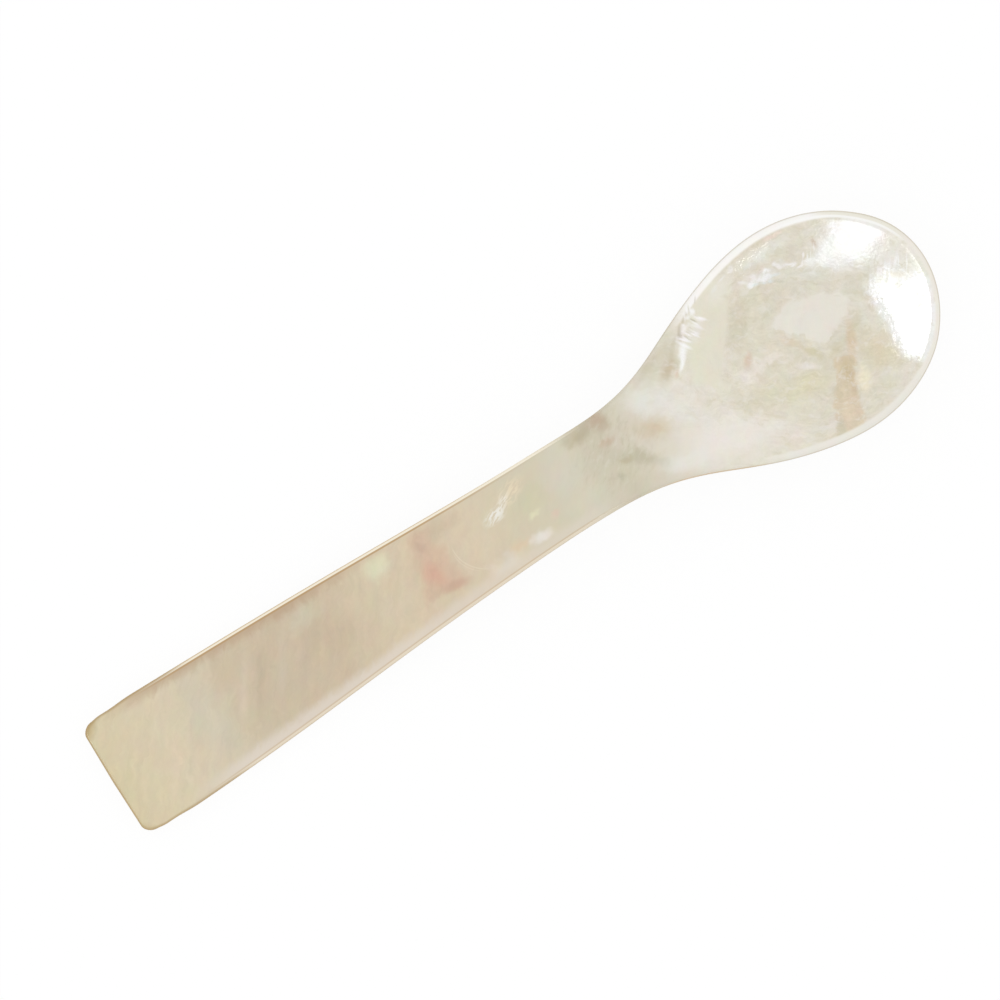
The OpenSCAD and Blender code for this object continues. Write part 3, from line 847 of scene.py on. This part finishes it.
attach(spoon, "root")
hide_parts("spoon")

# The table: plain white, seen almost without shade, with only the spoon's soft shadow on it.
# To the camera and in reflections it shows mostly its own white, so the shadow stays light.
table_mesh = bpy.data.meshes.new("table")
table_half = 4000 * MM
table_mesh.from_pydata(
    [(-table_half, -table_half, 0), (table_half, -table_half, 0), (table_half, table_half, 0),
     (-table_half, table_half, 0)], [], [(0, 1, 2, 3)])
table = bpy.data.objects.new("table", table_mesh)
bpy.context.scene.collection.objects.link(table)


def seen_rays():
    """1 for what the camera sees, straight, mirrored or through glass, and 0 for light on its way
    to a surface."""
    rays = add("LightPath", {})
    seen = sums("MAXIMUM", rays.outputs["Is Camera Ray"], rays.outputs["Is Glossy Ray"])
    return sums("MAXIMUM", seen, rays.outputs["Is Transmission Ray"])


paper = bpy.data.materials.new("white_table")
paper.use_nodes = True
tree = paper.node_tree
tree.nodes.clear()
glow_share = 0.9
plain = add("BsdfDiffuse", {"Color": grey(0.9)})
glow = add("Emission", {"Color": grey(1), "Strength": 1.02})
shares = {0: product(seen_rays(), glow_share), 1: plain.outputs[0], 2: glow.outputs[0]}
lit = add("MixShader", shares)
add("OutputMaterial", {"Surface": lit.outputs[0]})
table.data.materials.append(paper)

# The room round it: white where it is seen or mirrored, and an even soft light on the spoon
room = bpy.data.worlds.new("room")
bpy.context.scene.world = room
room.use_nodes = True
tree = room.node_tree
tree.nodes.clear()
light_level = 0.93
level = add("MapRange", {"Value": seen_rays(), "To Min": light_level, "To Max": 1.0})
sky = add("Background", {"Color": grey(1), "Strength": level.outputs["Result"]})
add("OutputWorld", {"Surface": sky.outputs[0]})

# The camera looks straight down. The spoon lies aslant in the picture, its bowl towards the upper
# right.
picture_w = 123.97
picture_turn = np.radians(32.733)
picture_centre = (-0.612, 3.312)
camera_far = 3000.0
sensor_w = 36.0
right = np.array([np.cos(picture_turn), -np.sin(picture_turn), 0])
upward = np.array([np.sin(picture_turn), np.cos(picture_turn), 0])
eye = bpy.data.objects.new("camera", bpy.data.cameras.new("camera"))
bpy.context.scene.collection.objects.link(eye)
eye.data.sensor_width = sensor_w
eye.data.lens = sensor_w * camera_far / picture_w
eye.data.clip_start = 0.1
eye.data.clip_end = 20
eye.location = (picture_centre[0] * MM, picture_centre[1] * MM, (camera_far + rim_z) * MM)
eye.rotation_euler = (0, 0, -picture_turn)
bpy.context.scene.camera = eye


def softbox(name, heading, far, sideways, foot, top, level):
    """An upright soft box that faces the spoon. Heading is the way to its plane in the picture, in
    degrees from the left towards the bottom; far is the distance to that plane, and the rest are
    shares of it: from where to where it reaches sideways, clockwise, and the heights of its foot
    and top. It gives the gloss its highlights, and the room alone gives the even light."""
    turn = np.radians(heading)
    way = -right * np.cos(turn) - upward * np.sin(turn)
    beside = right * np.sin(turn) - upward * np.cos(turn)
    middle = way + beside * sum(sideways) / 2 + np.array([0, 0, (foot + top) / 2])
    lamp = bpy.data.lights.new(name, "AREA")
    lamp.shape = "RECTANGLE"
    lamp.size = (sideways[1] - sideways[0]) * far * MM
    lamp.size_y = (top - foot) * far * MM
    lamp.energy = level * np.pi * lamp.size * lamp.size_y
    lamp.color = (0.9, 0.95, 1.0)
    box = bpy.data.objects.new(name, lamp)
    box.location = middle * far * MM
    box.rotation_euler = Vector(-way).to_track_quat("-Z", "Y").to_euler()
    box.visible_camera = False
    box.visible_diffuse = False
    bpy.context.scene.collection.objects.link(box)
    return box


# The first two fade at a border, over steps that stand one behind the other
left_steps = ((500, 0.12, 0.76, 0.35), (502, 0.04, 0.6, 0.4), (504, -0.08, 0.32, 0.5),
              (506, -0.27, 0.02, 0.7))
for far, side, foot, level in left_steps:
    softbox("left_softbox", 40.6, far, sideways=(-2.25, side), foot=foot, top=1.07, level=level)
bottom_steps = ((600, 0.41, 0.9, 0.2), (602, 0.35, 0.82, 0.25), (604, 0.28, 0.74, 0.35))
for far, side, top, level in bottom_steps:
    softbox("bottom_softbox", 76, far, sideways=(-0.28, side), foot=0.02, top=top, level=level)
softbox("right_softbox", 154, 600, sideways=(-0.6, 0.6), foot=0.0, top=0.15, level=2.2)

scene = bpy.context.scene
scene.view_settings.view_transform = "Standard"
